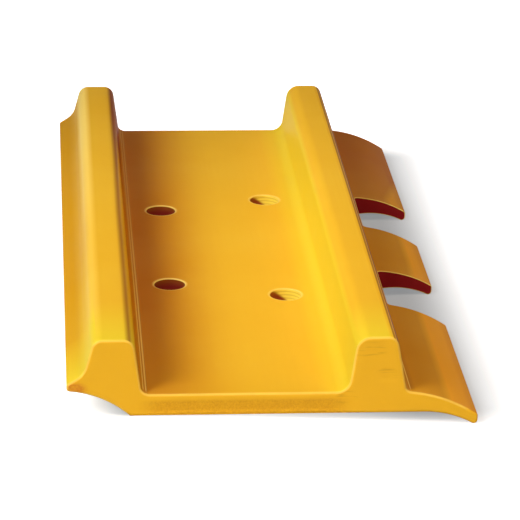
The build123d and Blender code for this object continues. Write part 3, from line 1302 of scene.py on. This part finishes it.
def marks_and_painted_light(paint, grain):
    """The marks of the shear and the saw and a smudge, painted shade in the creases and drill rings,
    painted highlights on the raised lines, edges and hole rims, and painted light on the bore walls,
    each with its share, in order.
    """
    fade_out, fade_in = (HALF_LENGTH - reach for reach in ROLLED_LINE_HIGHLIGHT_FADE)
    middle = paint.span(paint.from_middle, fade_out, fade_in, 1.0, 0.0)
    leading = paint.times(paint.above(0.0, paint.x), paint.zone(LEADING_LINE_HIGHLIGHT))
    rolled_line_highlight = paint.times(middle, paint.plus(paint.above(paint.x, 0.0), leading))
    saw_lines = paint.noise(*SAW_LINES)
    drilled = paint.mask("drilled")
    rings = paint.maths("SINE", paint.times(paint.z, 2 * math.pi / DRILL_RING_PITCH))
    return [
        (paint.times(paint.mask("sheared"), paint.span(grain, *SHEARED_SHARES)), PAINT_THIN),
        (paint.times(paint.mask("sawn"), paint.span(saw_lines, *SAWN_SHARES)), PAINT_SAW_MARK_AND_SHADE),
        (paint.times(paint.mask("thin_paint"), paint.span(grain, *SMUDGE_SHARES)), PAINT_SMUDGE),
        # Painted shade in the creases beside the rolled lines
        (paint.times(paint.mask("crease"), paint.times(middle, CREASE_SHADE_SHARE)), PAINT_SAW_MARK_AND_SHADE),
        # Painted highlights on the rolled lines, on the rounded edges and round the holes
        (paint.times(paint.mask("rolled_line"), rolled_line_highlight), PAINT_EDGE_HIGHLIGHT),
        (paint.mask("worn_edge"), PAINT_EDGE_HIGHLIGHT),
        (hole_rim_highlight_share(paint), PAINT_EDGE_HIGHLIGHT),
        # Painted light on the bolt holes' walls
        (drilled, BORE_LIGHT),
        # Painted shade in the grooves of the drill rings
        (paint.times(drilled, paint.span(rings, *DRILL_RING_SHADE_SHARES)), PAINT_SAW_MARK_AND_SHADE),
    ]


def deep_shade_colour(paint):
    """Dark red painted as deep shade, browner in the bolt holes."""
    drilled = paint.mask("drilled")
    colour = paint.blend(drilled, NOTCH_DEEP_SHADE, BORE_DEEP_SHADE)
    for bands in (BORE_MOUTH_BAND, TRAILING_BORE_BAND):
        colour = paint.blend(paint.times(drilled, paint.zone(bands)), colour, PAINT_SAW_MARK_AND_SHADE)
    return colour


def yellow_paint():
    """Sprayed yellow paint over rolled steel, with painted light, shade and highlights, and dark red
    painted as deep shade on the notch walls and in the bolt holes.
    """
    material = bpy.data.materials.new("yellow_paint")
    material.use_nodes = True
    surface = material.node_tree.nodes["Principled BSDF"]
    surface.inputs["Specular IOR Level"].default_value = PAINT_SPECULAR
    paint = PaintNodes(material.node_tree)
    clouds = paint.noise(*CLOUDS)
    streaks = paint.noise(*STREAKS)
    grain = paint.noise(*GRAIN)

    colour = paint.blend(paint.span(clouds, *CLOUD_SHARES), PAINT_LIGHT, PAINT_DEEP)
    for share, coat in streaks_and_painted_light(paint, clouds, streaks) + marks_and_painted_light(paint, grain):
        colour = paint.blend(share, colour, coat)
    # Dark red painted as deep shade on the notch walls and in the bolt holes
    colour = paint.blend(paint.mask("red_primer"), colour, deep_shade_colour(paint))
    paint.tree.links.new(colour, surface.inputs["Base Color"])

    fracture = paint.mask("fracture")
    burnt = paint.times(paint.mask("torch_cut"), TORCH_CUT_ROUGHNESS)
    broken = paint.times(fracture, FRACTURE_ROUGHNESS)
    rough = paint.plus(paint.span(clouds, *ROUGHNESS_SHARES), paint.plus(broken, burnt))
    paint.tree.links.new(rough, surface.inputs["Roughness"])

    ripple = paint.times(paint.noise(*RIPPLE), RIPPLE_SHARE)
    relief = paint.plus(ripple, paint.times(streaks, STREAK_RELIEF_SHARE))
    relief = paint.plus(relief, paint.times(paint.times(fracture, grain), GRAIN_SHARE))
    bump = {"Strength": BUMP_STRENGTH, "Distance": BUMP_HEIGHT, "Height": relief}
    paint.tree.links.new(paint.node("ShaderNodeBump", bump), surface.inputs["Normal"])
    return material


def painted_shoe():
    """The finished shoe: cut, rounded, marked by its tools and painted."""
    paint = yellow_paint()
    shoe = rolled_bar_cut(paint)
    bm = bmesh.new()
    bm.from_mesh(shoe.data)
    round_cut_edges(bm)
    refine_cut_faces(bm)
    mark_finishes(bm)
    bm.to_mesh(shoe.data)
    bm.free()
    run_tree(shoe, tool_marks_tree(), {**TOOL_MARKS, "Paint": paint})
    shoe.data.materials.clear()
    shoe.data.materials.append(paint)
    for polygon in shoe.data.polygons:
        polygon.material_index = 0
        polygon.use_smooth = True
    weigh = shoe.modifiers.new("weighted_normals", "WEIGHTED_NORMAL")
    weigh.keep_sharp = True
    return shoe


photograph_camera()
white_room()
studio_floor()
for name, lamp in LAMPS.items():
    softbox(name, *lamp)
shoe = painted_shoe()
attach(shoe, "root")
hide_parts("track_shoe")
bpy.context.scene.view_settings.view_transform = "Standard"
